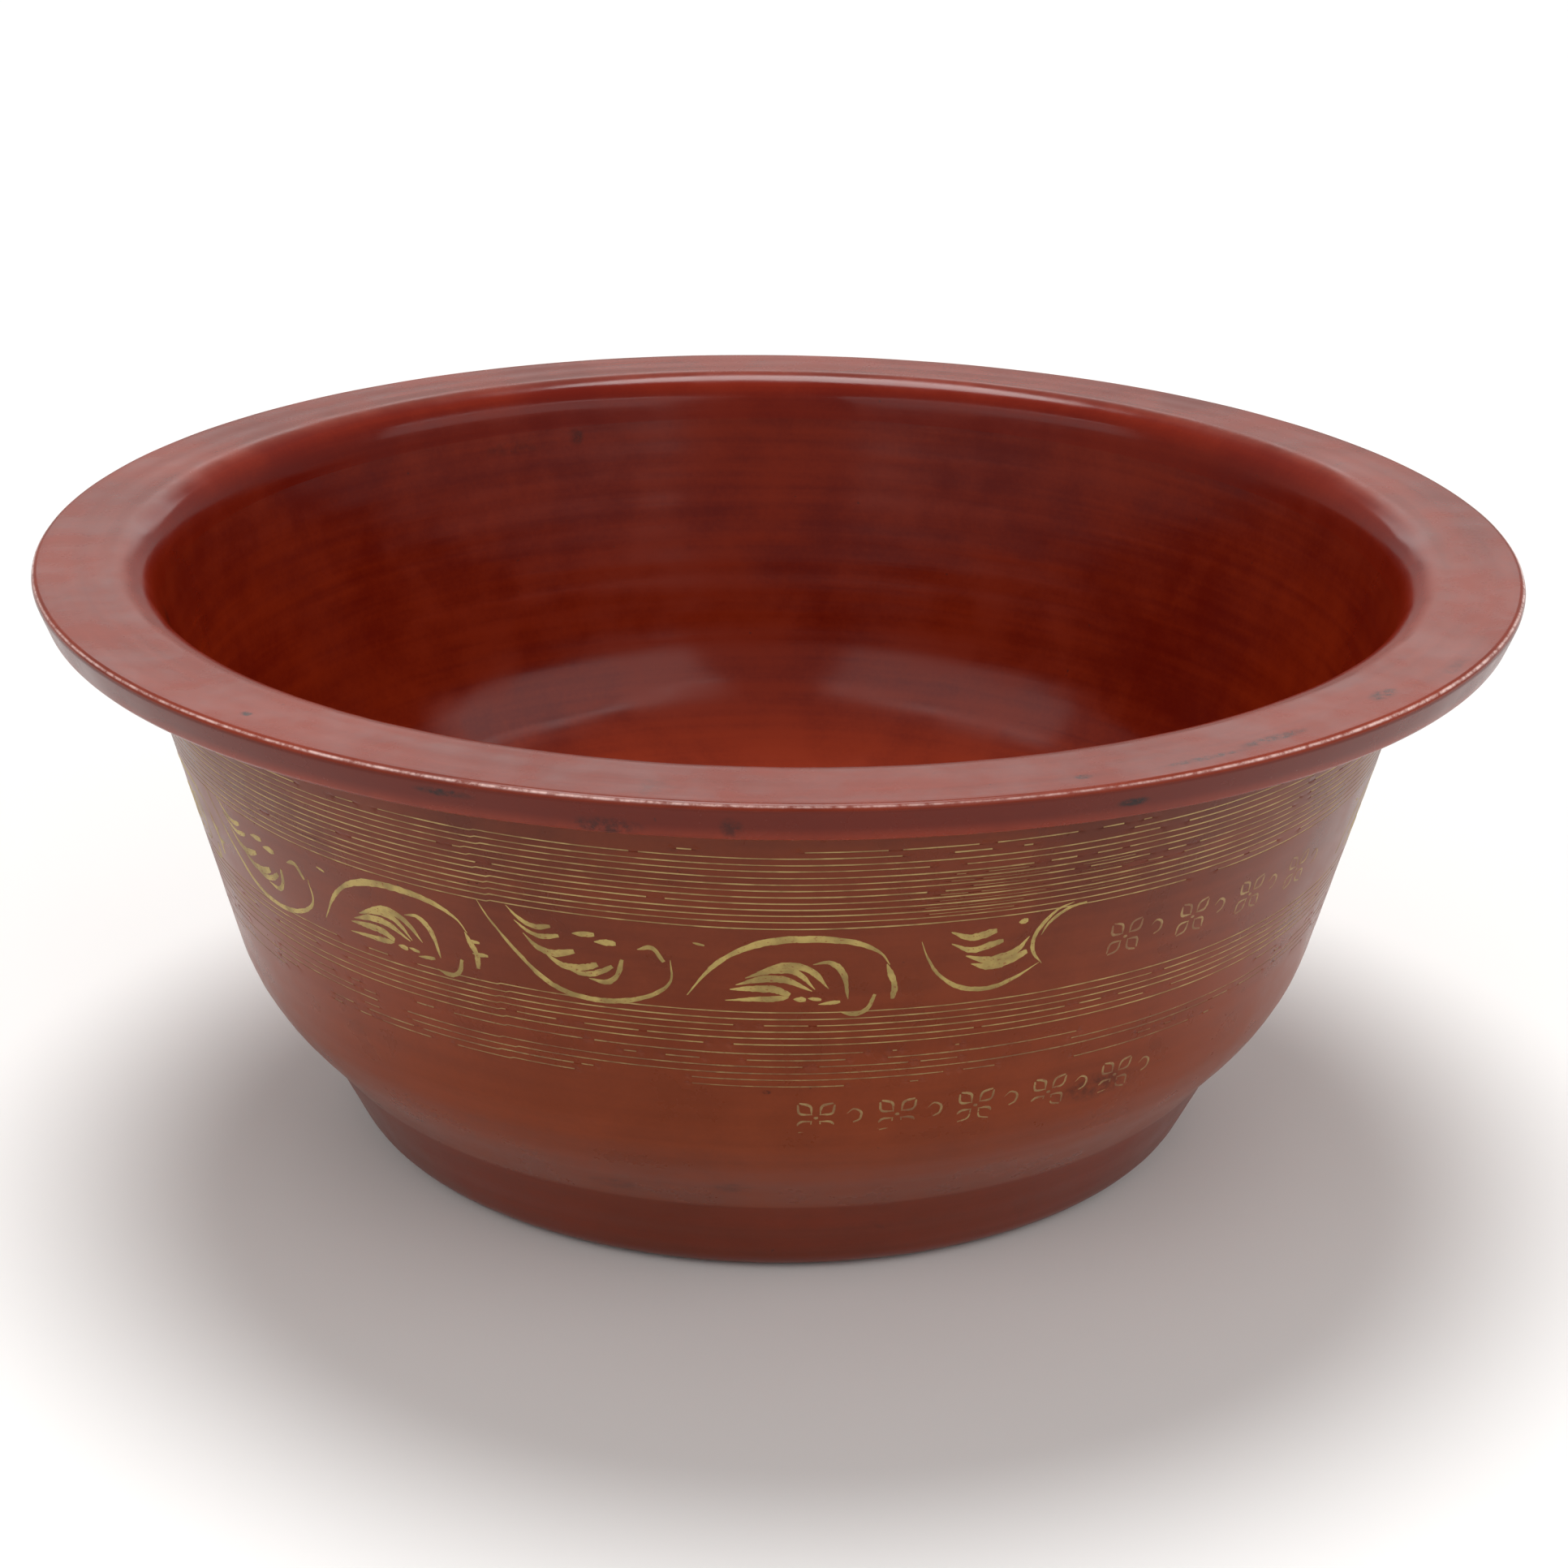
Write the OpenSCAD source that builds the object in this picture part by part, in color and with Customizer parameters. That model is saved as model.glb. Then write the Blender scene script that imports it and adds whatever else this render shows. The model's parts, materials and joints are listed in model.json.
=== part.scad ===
// Large lacquered bowl on a coiled bamboo core, with engraved and filled bands.
//
// Frame: origin at the centre of the foot's resting face, +Z up along the bowl's axis,
// -Y towards the middle of the engraved front. Millimetres.
//
// The bowl is built in layers. Bamboo strips are wound into a flat floor coil, hoops
// stepped up the base and the wall, a flange of nested hoops and a foot ring. Ash putty
// levels them inside and out, black lacquer seals the putty, and red lacquer covers the
// black. Lines are engraved into the red coat of the wall, scrolls and flowers are cut
// through it, and a gold filling lies flush in all of them.

/* [Overall] */
// Diameter across the rim
rim_d = 350; // [348:1:354]
// Height from the foot to the top of the rim
height = 142; // [140:1:144]

/* [Rim] */
// Thickness of the rim flange
rim_t = 8.8; // [8.6:0.1:9.2]
// Lean of the rim's edge face, inwards going down, in degrees
rim_lean = 21; // [16:1:24]
// Radius of the rim's top outer edge
edge_r = 1.5; // [1:0.1:2]
// Radius of the rim's bottom outer edge
under_edge_r = 2; // [1:0.1:2.5]
// Radius where the rim's underside meets the wall
under_fillet_r = 2.5; // [1.5:0.1:3]
// Radius of the inner lip, where the rim's top runs down into the bowl
lip_r = 9; // [8:0.5:9.5]

/* [Wall] */
// Lean of the wall, outwards going up, in degrees
wall_lean = 14.5; // [14.2:0.1:15]
// Horizontal thickness of the wall
wall_t = 6.6; // [6.5:0.1:7]

/* [Base] */
// Radius where the wall's line meets the line of the turned-in base
turn_r = 129.8; // [129:0.1:130.5]
// Height of that meeting point
turn_h = 41.3; // [40.5:0.1:42]
// Radius that rounds the wall into the base
turn_round = 50; // [40:1:55]
// Lean of the turned-in base, in degrees
base_lean = 40; // [39:0.5:41]
// Height of the floor's upper face
floor_h = 26; // [25.5:0.1:26.5]
// Thickness of the floor
floor_t = 5.75; // [5.5:0.05:6]
// Radius between the floor and the inside of the wall
corner_r = 62; // [58:1:64]

/* [Foot] */
// Height of the waist, where the base meets the foot
foot_h = 21.8; // [21.4:0.1:22.2]
// Lean of the foot's outer face, outwards going up, in degrees
foot_lean = 26; // [24:0.5:28]
// Horizontal thickness of the foot ring
foot_t = 11.2; // [11:0.1:12]
// Radius of the waist
waist_round = 8; // [4:1:12]
// Radius of the foot's bottom outer edge
foot_round = 9; // [7:0.5:10]
// Radius of the foot's bottom inner edge and of the recess corner
recess_round = 2; // [1:0.5:3]

/* [Lacquer and putty] */
// Thickness of the red lacquer
red_t = 0.35; // [0.3:0.01:0.4]
// Thickness of the black lacquer
black_t = 0.35; // [0.3:0.01:0.4]

/* [Bamboo] */
// Thickness of a wall strip
wall_strip_t = 2; // [1.9:0.05:2]
// Height of a wall strip
wall_strip_h = 9.5; // [9:0.1:9.6]
// Thickness of a base strip
base_strip_t = 3; // [2.9:0.05:3]
// Height of a base strip
base_strip_h = 10; // [8:0.1:10.5]
// Thickness of a rim strip
rim_strip_t = 3.2; // [2.8:0.1:3.2]
// Height of a rim strip
rim_strip_h = 4.8; // [4:0.1:4.8]
// Thickness of a foot strip
foot_strip_t = 2.6; // [2.2:0.1:2.7]
// Turns in the floor coil
floor_turns = 27; // [24:1:27]
// Width of one turn of the floor coil
floor_strip_t = 4; // [3.5:0.1:4]
// Thickness of the floor coil
floor_strip_h = 3; // [2.6:0.1:3]
// Depth of the groove between two turns of the floor coil
floor_groove = 0.6; // [0.3:0.1:0.9]
// Gap between the two slanted ends of a hoop
scarf_gap = 0.3; // [0.1:0.1:0.5]

/* [Engraved lines] */
// Width of an engraved line
line_w = 0.45; // [0.3:0.05:0.6]
// Depth of an engraved line
line_depth = 0.2; // [0.1:0.05:0.25]
// Height of the highest line
upper_lines_h = 122.1; // [121:0.1:124]
// Lines in the upper band
upper_lines_n = 13; // [8:1:13]
// Distance between lines of the upper band
upper_pitch = 1.57; // [1.4:0.01:1.6]
// Height of the highest line of the middle band
middle_lines_h = 82; // [80.5:0.1:82.4]
// Lines in the middle band
middle_lines_n = 6; // [4:1:6]
// Distance between lines of the middle band
middle_pitch = 1.7; // [1.4:0.01:1.8]
// Height of the highest line of the lower band
lower_lines_h = 71.2; // [69:0.1:72]
// Lines in the lower band
lower_lines_n = 6; // [4:1:6]
// Distance between lines of the lower band
lower_pitch = 1.75; // [1.4:0.01:1.8]

/* [Engraved scrolls] */
// Scrolls round the wall, alternately arched and hanging
scroll_n = 20; // [16:2:20]
// Height of the scroll band's middle
scroll_h = 92.4; // [91.8:0.1:92.8]
// Width of one scroll
scroll_w = 41; // [36:1:42]
// Height of one scroll
scroll_rise = 17; // [14:0.5:17]
// Widest part of a scroll's outline
scroll_stroke = 2; // [1:0.1:2.4]
// Angle of the first scroll from the middle of the front, in degrees
scroll_start = 1.5; // [0:0.5:9]
// Leaves in a scroll
leaf_n = 4; // [3:1:5]
// Four-petalled flowers below the line bands
flower_n = 5; // [3:1:8]
// Height of the flowers
flower_h = 54; // [53:0.5:55]
// Length of one petal
petal_l = 4.2; // [3:0.1:4.5]

/* [Hidden] */
// Turns of bamboo that fill the wall, the turned-in base, the rim flange and the foot ring
wall_turns = 11;
base_turns = 6;
rim_turns = 6;
foot_turns = 3;

// Names of a run of numbered nodes: base_hoop_1, base_hoop_2 and so on
function numbered(stem, n) = [for (i = [1:n]) str(stem, n > 9 && i < 10 ? "0" : "", i)];

// Colours
bamboo = [0.78, 0.64, 0.40];
putty = [0.24, 0.21, 0.18];
black_lacquer = [0.05, 0.04, 0.04];
red_lacquer = [0.52, 0.13, 0.08];
gold = [0.72, 0.60, 0.30];

// Degrees between two points of a rounded corner, and the facets of a full turn
arc_step = 6;
$fn = 96;

// Heights that follow from the driving dimensions
rim_under_h = height - rim_t;
rim_split_h = rim_under_h - under_fillet_r;
recess_h = floor_h - floor_t;
coats_t = red_t + black_t;
// Height at which the coats of the foot's inner face end and those of the underside begin
underside_split_h = recess_h - 0.75;
joint_putty = 0.45;
coil_bottom_h = recess_h + coats_t + joint_putty;
coil_mid_h = coil_bottom_h + floor_strip_h / 2;

// Radius of the outer wall, of the inner wall and of the line midway, at height h
function wall_r(h) = turn_r + (h - turn_h) * tan(wall_lean);
function inner_wall_r(h) = wall_r(h) - wall_t;
function mid_wall_r(h) = wall_r(h) - wall_t / 2;

// Radii of the corners of the cross-section
waist_r = turn_r - (turn_h - foot_h) * tan(base_lean);
foot_bottom_r = waist_r - foot_h * tan(foot_lean);
function foot_inner_r(h) = foot_bottom_r - foot_t + h * tan(foot_lean);
rim_corner_r = rim_d / 2 + edge_r * (1 / tan((90 - rim_lean) / 2) - 1);
rim_under_r = rim_corner_r - rim_t * tan(rim_lean);

// Corners of the cross-section, as [radius, height, rounding]
corners = [
    [0, floor_h, 0],
    [inner_wall_r(floor_h), floor_h, corner_r],
    [inner_wall_r(height), height, lip_r],
    [rim_corner_r, height, edge_r],
    [rim_under_r, rim_under_h, under_edge_r],
    [wall_r(rim_under_h), rim_under_h, under_fillet_r],
    [turn_r, turn_h, turn_round],
    [waist_r, foot_h, waist_round],
    [foot_bottom_r, 0, foot_round],
    [foot_inner_r(0), 0, recess_round],
    [foot_inner_r(recess_h), recess_h, recess_round],
    [0, recess_h, 0]
];

function unit(v) = v / norm(v);
function flat(p) = [p.x, p.y];

// Points of the arc of radius r that rounds corner b between its neighbours a and c
function rounded(a, b, c, r) =
    r == 0 ? [flat(b)] :
    let (
        to_a = unit(flat(a) - flat(b)),
        to_c = unit(flat(c) - flat(b)),
        half = acos(to_a * to_c) / 2,
        centre = flat(b) + unit(to_a + to_c) * r / sin(half),
        first = flat(b) + to_a * r / tan(half) - centre,
        last = flat(b) + to_c * r / tan(half) - centre,
        start = atan2(first.y, first.x),
        sweep = (atan2(last.y, last.x) - start + 540) % 360 - 180,
        steps = max(2, ceil(abs(sweep) / arc_step))
    )
    [for (i = [0:steps]) centre + r * [cos(start + sweep * i / steps), sin(start + sweep * i / steps)]];

corner_n = len(corners);
outline = [
    for (i = [0:corner_n - 1])
        let (before = corners[(i + corner_n - 1) % corner_n], after = corners[(i + 1) % corner_n])
            each rounded(before, corners[i], after, corners[i].z)
];

// Bamboo turns: each wall hoop stands one strip further out than the one below it
hoop_rise = wall_strip_t / tan(wall_lean);
top_hoop_below_rim = 1.7;
top_hoop_h = rim_under_h - top_hoop_below_rim;
function wall_hoop_h(i) = top_hoop_h - (wall_turns - i) * hoop_rise;
first_hoop_inner_r = mid_wall_r(wall_hoop_h(1)) - wall_strip_t / 2;
top_hoop_outer_r = mid_wall_r(top_hoop_h) + wall_strip_t / 2;

// Base hoops stand midway between the turned-in base and the rounded inner corner
corner_centre_r = inner_wall_r(floor_h + corner_r) - corner_r / cos(wall_lean);
function base_outer_h(r) = foot_h + (r - waist_r) / tan(base_lean);
function base_inner_h(r) = floor_h + corner_r - sqrt(pow(corner_r, 2) - pow(r - corner_centre_r, 2));
function base_hoop_r(i) = first_hoop_inner_r - base_strip_t * (base_turns - i + 0.5);
function base_hoop_h(i) = (base_outer_h(base_hoop_r(i)) + base_inner_h(base_hoop_r(i))) / 2;
base_split_r = base_hoop_r(1) - base_strip_t;

// Line through the middle of the bamboo, from the floor coil to below the rim
base_top_h = base_hoop_h(base_turns) + base_strip_h / 2;
wall_foot_h = wall_hoop_h(1) - wall_strip_h / 2;
mid_line = concat(
    [[base_split_r, coil_mid_h], [base_hoop_r(1), coil_mid_h]],
    [for (i = [1:base_turns]) [base_hoop_r(i), base_hoop_h(i)]],
    [[first_hoop_inner_r, (base_top_h + wall_foot_h) / 2]],
    [for (i = [1:wall_turns - 1]) [mid_wall_r(wall_hoop_h(i)), wall_hoop_h(i)]],
    [[mid_wall_r(rim_split_h), rim_split_h]]
);

// Turn from one hoop's joint to the next, and the slant of the joint
joint_turn = 137.5;
scarf_slant = 35;

/* ---- Cross-section ---- */

// Whole cross-section, on both sides of the axis
module section() {
    polygon(outline);
    mirror([1, 0]) polygon(outline);
}

// Part of the cross-section between two depths below its surface
module layer(outer, inner) {
    difference() {
        offset(delta = -outer) section();
        offset(delta = -inner) section();
    }
}

// Everything deeper than the lacquer coats
module core() {
    offset(delta = -coats_t) section();
}

// Regions that divide the cross-section between the coats
module rim_zone() {
    translate([0, rim_split_h]) square([rim_d, rim_t + under_fillet_r + 1]);
}

module outside_zone() {
    polygon(concat(
        [[base_split_r, foot_h], [rim_d, foot_h], [rim_d, rim_split_h]],
        [for (i = [len(mid_line) - 1:-1:0]) mid_line[i]]
    ));
}

module inside_zone() {
    polygon(concat([[0, coil_mid_h]], mid_line, [[0, rim_split_h]]));
}

module underside_zone() {
    translate([0, underside_split_h]) square([base_split_r, coil_mid_h - underside_split_h]);
}

// The foot's share reaches up to the waist outside, and to the underside inside
module foot_zone() {
    translate([0, -1]) square([rim_d, underside_split_h + 1]);
    translate([base_split_r, underside_split_h]) square([rim_d, foot_h - underside_split_h]);
}

// Turns a zone's share of a layer round the axis
module revolve() {
    rotate_extrude() intersection() {
        children(0);
        children(1);
    }
}

/* ---- Bamboo ---- */

// Rectangular section of a hoop, by its middle
module strip_section(r, h, t, w) {
    translate([r - t / 2, h - w / 2]) square([t, w]);
}

// Slanted gap between the two ends of the hoop in turn i
module scarf(r, h, t, w, i) {
    rotate(i * joint_turn) translate([r, 0, h]) rotate([scarf_slant, 0, 0])
        cube([3 * t, scarf_gap, 3 * w], center = true);
}

module hoop(r, h, t, w, i) {
    color(bamboo) difference() {
        rotate_extrude() strip_section(r, h, t, w);
        scarf(r, h, t, w, i);
    }
}

// Flat coil of the floor: its turns lie side by side with a groove between them
module floor_coil_section() {
    coil_r = floor_turns * floor_strip_t;
    difference() {
        translate([0, coil_bottom_h]) square([coil_r, floor_strip_h]);
        for (i = [1:floor_turns - 1], face = [0, 1])
            translate([i * floor_strip_t, coil_bottom_h + face * floor_strip_h]) rotate(45)
                square(floor_groove * sqrt(2), center = true);
    }
}

module floor_coil() {
    color(bamboo) rotate_extrude() floor_coil_section();
}

module base_hoop(i) {
    hoop(base_hoop_r(i), base_hoop_h(i), base_strip_t, base_strip_h, i);
}

module wall_hoop(i) {
    hoop(mid_wall_r(wall_hoop_h(i)), wall_hoop_h(i), wall_strip_t, wall_strip_h, base_turns + i);
}

rim_putty_under = 1.1;
rim_strip_mid_h = rim_under_h + rim_putty_under + rim_strip_h / 2;
function rim_hoop_r(i) = top_hoop_outer_r + (i - 0.5) * rim_strip_t;

module rim_hoop(i) {
    hoop(rim_hoop_r(i), rim_strip_mid_h, rim_strip_t, rim_strip_h, base_turns + wall_turns + i);
}

// Foot hoops lean with the foot and fill the middle of the ring
foot_hoop_bottom_h = 3;
foot_hoop_top_h = coil_bottom_h - joint_putty;
foot_stack_inset = (foot_t - foot_turns * foot_strip_t) / 2;

module foot_hoop_section(i) {
    inner = foot_stack_inset + (i - 1) * foot_strip_t;
    low = foot_inner_r(foot_hoop_bottom_h) + inner;
    high = foot_inner_r(foot_hoop_top_h) + inner;
    polygon([
        [low, foot_hoop_bottom_h],
        [low + foot_strip_t, foot_hoop_bottom_h],
        [high + foot_strip_t, foot_hoop_top_h],
        [high, foot_hoop_top_h]
    ]);
}

module foot_hoop(i) {
    mid_h = (foot_hoop_bottom_h + foot_hoop_top_h) / 2;
    color(bamboo) difference() {
        rotate_extrude() foot_hoop_section(i);
        scarf(foot_inner_r(mid_h) + foot_t / 2, mid_h, foot_t, foot_hoop_top_h, i);
    }
}

/* ---- Putty ---- */

// Cross-section of all the bamboo, which the putty surrounds
module bamboo_section() {
    floor_coil_section();
    for (i = [1:base_turns])
        strip_section(base_hoop_r(i), base_hoop_h(i), base_strip_t, base_strip_h);
    for (i = [1:wall_turns])
        strip_section(mid_wall_r(wall_hoop_h(i)), wall_hoop_h(i), wall_strip_t, wall_strip_h);
    for (i = [1:rim_turns])
        strip_section(rim_hoop_r(i), rim_strip_mid_h, rim_strip_t, rim_strip_h);
    for (i = [1:foot_turns]) foot_hoop_section(i);
}

module putty_section() {
    difference() {
        core();
        bamboo_section();
    }
}

module putty_outside() {
    color(putty) revolve() {
        putty_section();
        outside_zone();
    }
}

module putty_inside() {
    color(putty) revolve() {
        putty_section();
        inside_zone();
    }
}

module putty_rim() {
    color(putty) revolve() {
        putty_section();
        rim_zone();
    }
}

module putty_foot() {
    color(putty) revolve() {
        putty_section();
        foot_zone();
    }
}

module putty_underside() {
    color(putty) revolve() {
        putty_section();
        underside_zone();
    }
}

/* ---- Black lacquer ---- */

module black_outside() {
    color(black_lacquer) revolve() {
        layer(red_t, coats_t);
        outside_zone();
    }
}

module black_inside() {
    color(black_lacquer) revolve() {
        layer(red_t, coats_t);
        inside_zone();
    }
}

module black_rim() {
    color(black_lacquer) revolve() {
        layer(red_t, coats_t);
        rim_zone();
    }
}

module black_foot() {
    color(black_lacquer) revolve() {
        layer(red_t, coats_t);
        foot_zone();
    }
}

// The recess under the floor has no red coat, so its black lacquer is the whole depth
module black_underside() {
    color(black_lacquer) revolve() {
        layer(0, coats_t);
        underside_zone();
    }
}

/* ---- Engraving ---- */

// Notches that the lines of one band leave in the wall's outline
module line_notches(top_h, lines, pitch) {
    for (i = [0:lines - 1]) {
        h = top_h - i * pitch;
        translate([wall_r(h), h]) rotate(-wall_lean) translate([-line_depth, -line_w / 2])
            square([2 * line_depth, line_w]);
    }
}

module upper_notches() {
    line_notches(upper_lines_h, upper_lines_n, upper_pitch);
}

module middle_notches() {
    line_notches(middle_lines_h, middle_lines_n, middle_pitch);
}

module lower_notches() {
    line_notches(lower_lines_h, lower_lines_n, lower_pitch);
}

// Outline of a brush stroke of width w along a path, tapering to both ends
function brush(path, w) =
    let (
        n = len(path) - 1,
        side = [
            for (i = [0:n])
                let (along = unit(path[min(i + 1, n)] - path[max(i - 1, 0)]))
                    w / 2 * (0.15 + 0.85 * sin(180 * i / n)) * [-along.y, along.x]
        ]
    )
    concat([for (i = [0:n]) path[i] + side[i]], [for (i = [n:-1:0]) path[i] - side[i]]);

// Arched outline of a scroll, its crown set a little to one side
scroll_path_n = 10;
scroll_skew = 0.1;
scroll_path = [
    for (i = [0:scroll_path_n])
        let (t = i / scroll_path_n, bulge = sin(180 * t))
            [scroll_w * (t - 0.5 + scroll_skew * bulge), scroll_rise * (pow(bulge, 0.6) - 0.5)]
];

// Curved leaves that fan out inside the arch, each an arc of a flattened circle
leaf_path_n = 5;
leaf_step = 2.1;
leaf_w = 1.5;
leaf_root = [2, -5.5];
leaf_first_r = 3.2;
leaf_flatness = 1.25;
leaf_start = 165;
leaf_sweep = 120;
function leaf_path(i) = [
    for (k = [0:leaf_path_n])
        let (a = leaf_start - leaf_sweep * k / leaf_path_n)
            leaf_root + (leaf_first_r + leaf_step * i) * [leaf_flatness * cos(a), sin(a)]
];

module scroll_shape() {
    polygon(brush(scroll_path, scroll_stroke));
    for (i = [0:leaf_n - 1]) polygon(brush(leaf_path(i), leaf_w));
}

// Stands a flat shape against the wall, at an angle from the front and a height, and
// carries it a little into the wall and out of it
reach_in = 5;
reach_out = 4;
module against_wall(angle, h) {
    rotate(angle) translate([0, reach_in - wall_r(h), h]) rotate([90, 0, 0])
        linear_extrude(height = reach_in + reach_out) children();
}

// Two scrolls are left out, where the flowers of the scroll band stand
scroll_turn = 360 / scroll_n;
left_out = [2, 3];
module scroll_prisms() {
    for (i = [0:scroll_n - 1])
        if (i < left_out[0] || i > left_out[1])
            against_wall(scroll_start + i * scroll_turn, scroll_h) mirror([0, i % 2]) scroll_shape();
}

// Four petals, each pointing away from the middle of the flower
petal_path_n = 3;
petal_w = 1.75;
petal_root_r = 1;
function petal_path(a) = [
    for (k = [0:petal_path_n]) (petal_root_r + k * petal_l / petal_path_n) * [cos(a), sin(a)]
];

module flower_shape() {
    for (a = [45:90:315]) polygon(brush(petal_path(a), petal_w));
}

// One row of flowers stands below the line bands and one in the gap of the scroll band
flower_turn = 7.5;
flower_start = 4;
gap_flower_offset = -6.5;
gap_flower_n = 4;
module flower_prisms() {
    for (i = [0:flower_n - 1]) against_wall(flower_start + i * flower_turn, flower_h) flower_shape();
    gap_start = scroll_start + left_out[0] * scroll_turn + gap_flower_offset;
    for (i = [0:gap_flower_n - 1]) against_wall(gap_start + i * flower_turn, scroll_h) flower_shape();
}

/* ---- Red lacquer ---- */

// Red coat of the wall and the base, before it is engraved
module wall_coat_section() {
    intersection() {
        layer(0, red_t);
        outside_zone();
    }
}

module red_outside() {
    color(red_lacquer) difference() {
        rotate_extrude() difference() {
            wall_coat_section();
            upper_notches();
            middle_notches();
            lower_notches();
        }
        scroll_prisms();
        flower_prisms();
    }
}

module red_inside() {
    color(red_lacquer) revolve() {
        layer(0, red_t);
        inside_zone();
    }
}

module red_rim() {
    color(red_lacquer) revolve() {
        layer(0, red_t);
        rim_zone();
    }
}

module red_foot() {
    color(red_lacquer) revolve() {
        layer(0, red_t);
        foot_zone();
    }
}

/* ---- Gold filling ---- */

module upper_lines() {
    color(gold) revolve() {
        section();
        upper_notches();
    }
}

module middle_lines() {
    color(gold) revolve() {
        section();
        middle_notches();
    }
}

module lower_lines() {
    color(gold) revolve() {
        section();
        lower_notches();
    }
}

module scrolls() {
    color(gold) intersection() {
        rotate_extrude() wall_coat_section();
        scroll_prisms();
    }
}

module flowers() {
    color(gold) intersection() {
        rotate_extrude() wall_coat_section();
        flower_prisms();
    }
}

/* ---- Drawing ---- */

floor_coil();
for (i = [1:base_turns])
    base_hoop(i);
for (i = [1:wall_turns])
    wall_hoop(i);
for (i = [1:rim_turns])
    rim_hoop(i);
for (i = [1:foot_turns])
    foot_hoop(i);
putty_outside();
putty_inside();
putty_rim();
putty_foot();
putty_underside();
black_outside();
black_inside();
black_rim();
black_foot();
black_underside();
red_outside();
red_inside();
red_rim();
red_foot();
upper_lines();
middle_lines();
lower_lines();
scrolls();
flowers();
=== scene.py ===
"""Looks of a red lacquer bowl with engraved gold bands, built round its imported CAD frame.

Lengths are in metres. Angles round the bowl are in degrees from the front (-Y) towards +X.
"""
import json
import math

import bpy
import numpy as np
from mathutils import Matrix, Vector


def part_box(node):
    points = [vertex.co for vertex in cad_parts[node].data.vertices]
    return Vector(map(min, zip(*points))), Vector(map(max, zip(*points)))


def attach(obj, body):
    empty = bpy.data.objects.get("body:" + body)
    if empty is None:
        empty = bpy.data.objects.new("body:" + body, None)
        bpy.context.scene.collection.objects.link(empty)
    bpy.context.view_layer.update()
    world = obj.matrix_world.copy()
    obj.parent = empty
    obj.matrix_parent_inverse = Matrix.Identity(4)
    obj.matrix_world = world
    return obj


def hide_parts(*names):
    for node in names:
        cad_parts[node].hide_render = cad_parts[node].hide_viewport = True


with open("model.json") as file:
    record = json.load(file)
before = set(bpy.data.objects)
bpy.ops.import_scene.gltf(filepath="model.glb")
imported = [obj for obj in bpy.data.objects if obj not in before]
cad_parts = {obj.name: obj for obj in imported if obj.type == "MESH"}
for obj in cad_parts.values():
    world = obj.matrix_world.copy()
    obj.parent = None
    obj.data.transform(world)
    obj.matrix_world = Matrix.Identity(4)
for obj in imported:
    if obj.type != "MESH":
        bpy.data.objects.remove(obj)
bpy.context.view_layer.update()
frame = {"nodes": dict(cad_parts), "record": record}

MM = 0.001

# ---------------------------------------------------------------- the frame's sizes

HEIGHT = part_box("red_rim")[1].z
RIM_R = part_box("red_rim")[1].x
SPLIT_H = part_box("red_outside")[1].z
WAIST_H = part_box("red_foot")[1].z
RED_T = 0.35 * MM
FLOOR_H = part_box("red_inside")[0].z + RED_T
RECESS_H = FLOOR_H - 5.75 * MM
UNDER_FILLET_R = 2.5 * MM
RIM_UNDER_H = SPLIT_H + UNDER_FILLET_R
RIM_T = HEIGHT - RIM_UNDER_H
UNDERSIDE_SPLIT_H = RECESS_H - 0.75 * MM

# Leans, in degrees from upright, and the point where the wall meets the turned-in base
WALL_LEAN = 14.5
BASE_LEAN = 40.0
FOOT_LEAN = 26.0
RIM_LEAN = 21.0
TURN_R = 129.8 * MM
TURN_H = 41.3 * MM
WALL_T = 6.6 * MM
FOOT_T = 11.2 * MM

# Top of the rounding where the wall turns in
TURN_TOP_H = 52.3 * MM

# Radii between which the flat of the rim runs over the lip into the inside
LIP_OUT_R = 156 * MM
LIP_IN_R = 150.3 * MM


def tan(degrees):
    return math.tan(math.radians(degrees))


def wall_r(h):
    """Radius of the wall's outer face at height h."""
    return TURN_R + (h - TURN_H) * tan(WALL_LEAN)


def section_corners():
    """Corners of the bowl's cross-section, as (radius, height, rounding)."""
    edge_r = 1.5 * MM
    rim_corner_r = RIM_R + edge_r * (1 / tan((90 - RIM_LEAN) / 2) - 1)
    waist_r = TURN_R - (TURN_H - WAIST_H) * tan(BASE_LEAN)
    foot_r = waist_r - WAIST_H * tan(FOOT_LEAN)
    foot_inner_r = foot_r - FOOT_T
    return [
        (0, FLOOR_H, 0),
        (wall_r(FLOOR_H) - WALL_T, FLOOR_H, 62 * MM),
        (wall_r(HEIGHT) - WALL_T, HEIGHT, 9 * MM),
        (rim_corner_r, HEIGHT, edge_r),
        (rim_corner_r - RIM_T * tan(RIM_LEAN), RIM_UNDER_H, 2 * MM),
        (wall_r(RIM_UNDER_H), RIM_UNDER_H, UNDER_FILLET_R),
        (TURN_R, TURN_H, 50 * MM),
        (waist_r, WAIST_H, 8 * MM),
        (foot_r, 0, 9 * MM),
        (foot_inner_r, 0, 2 * MM),
        (foot_inner_r + RECESS_H * tan(FOOT_LEAN), RECESS_H, 2 * MM),
        (0, RECESS_H, 0),
    ]


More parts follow.
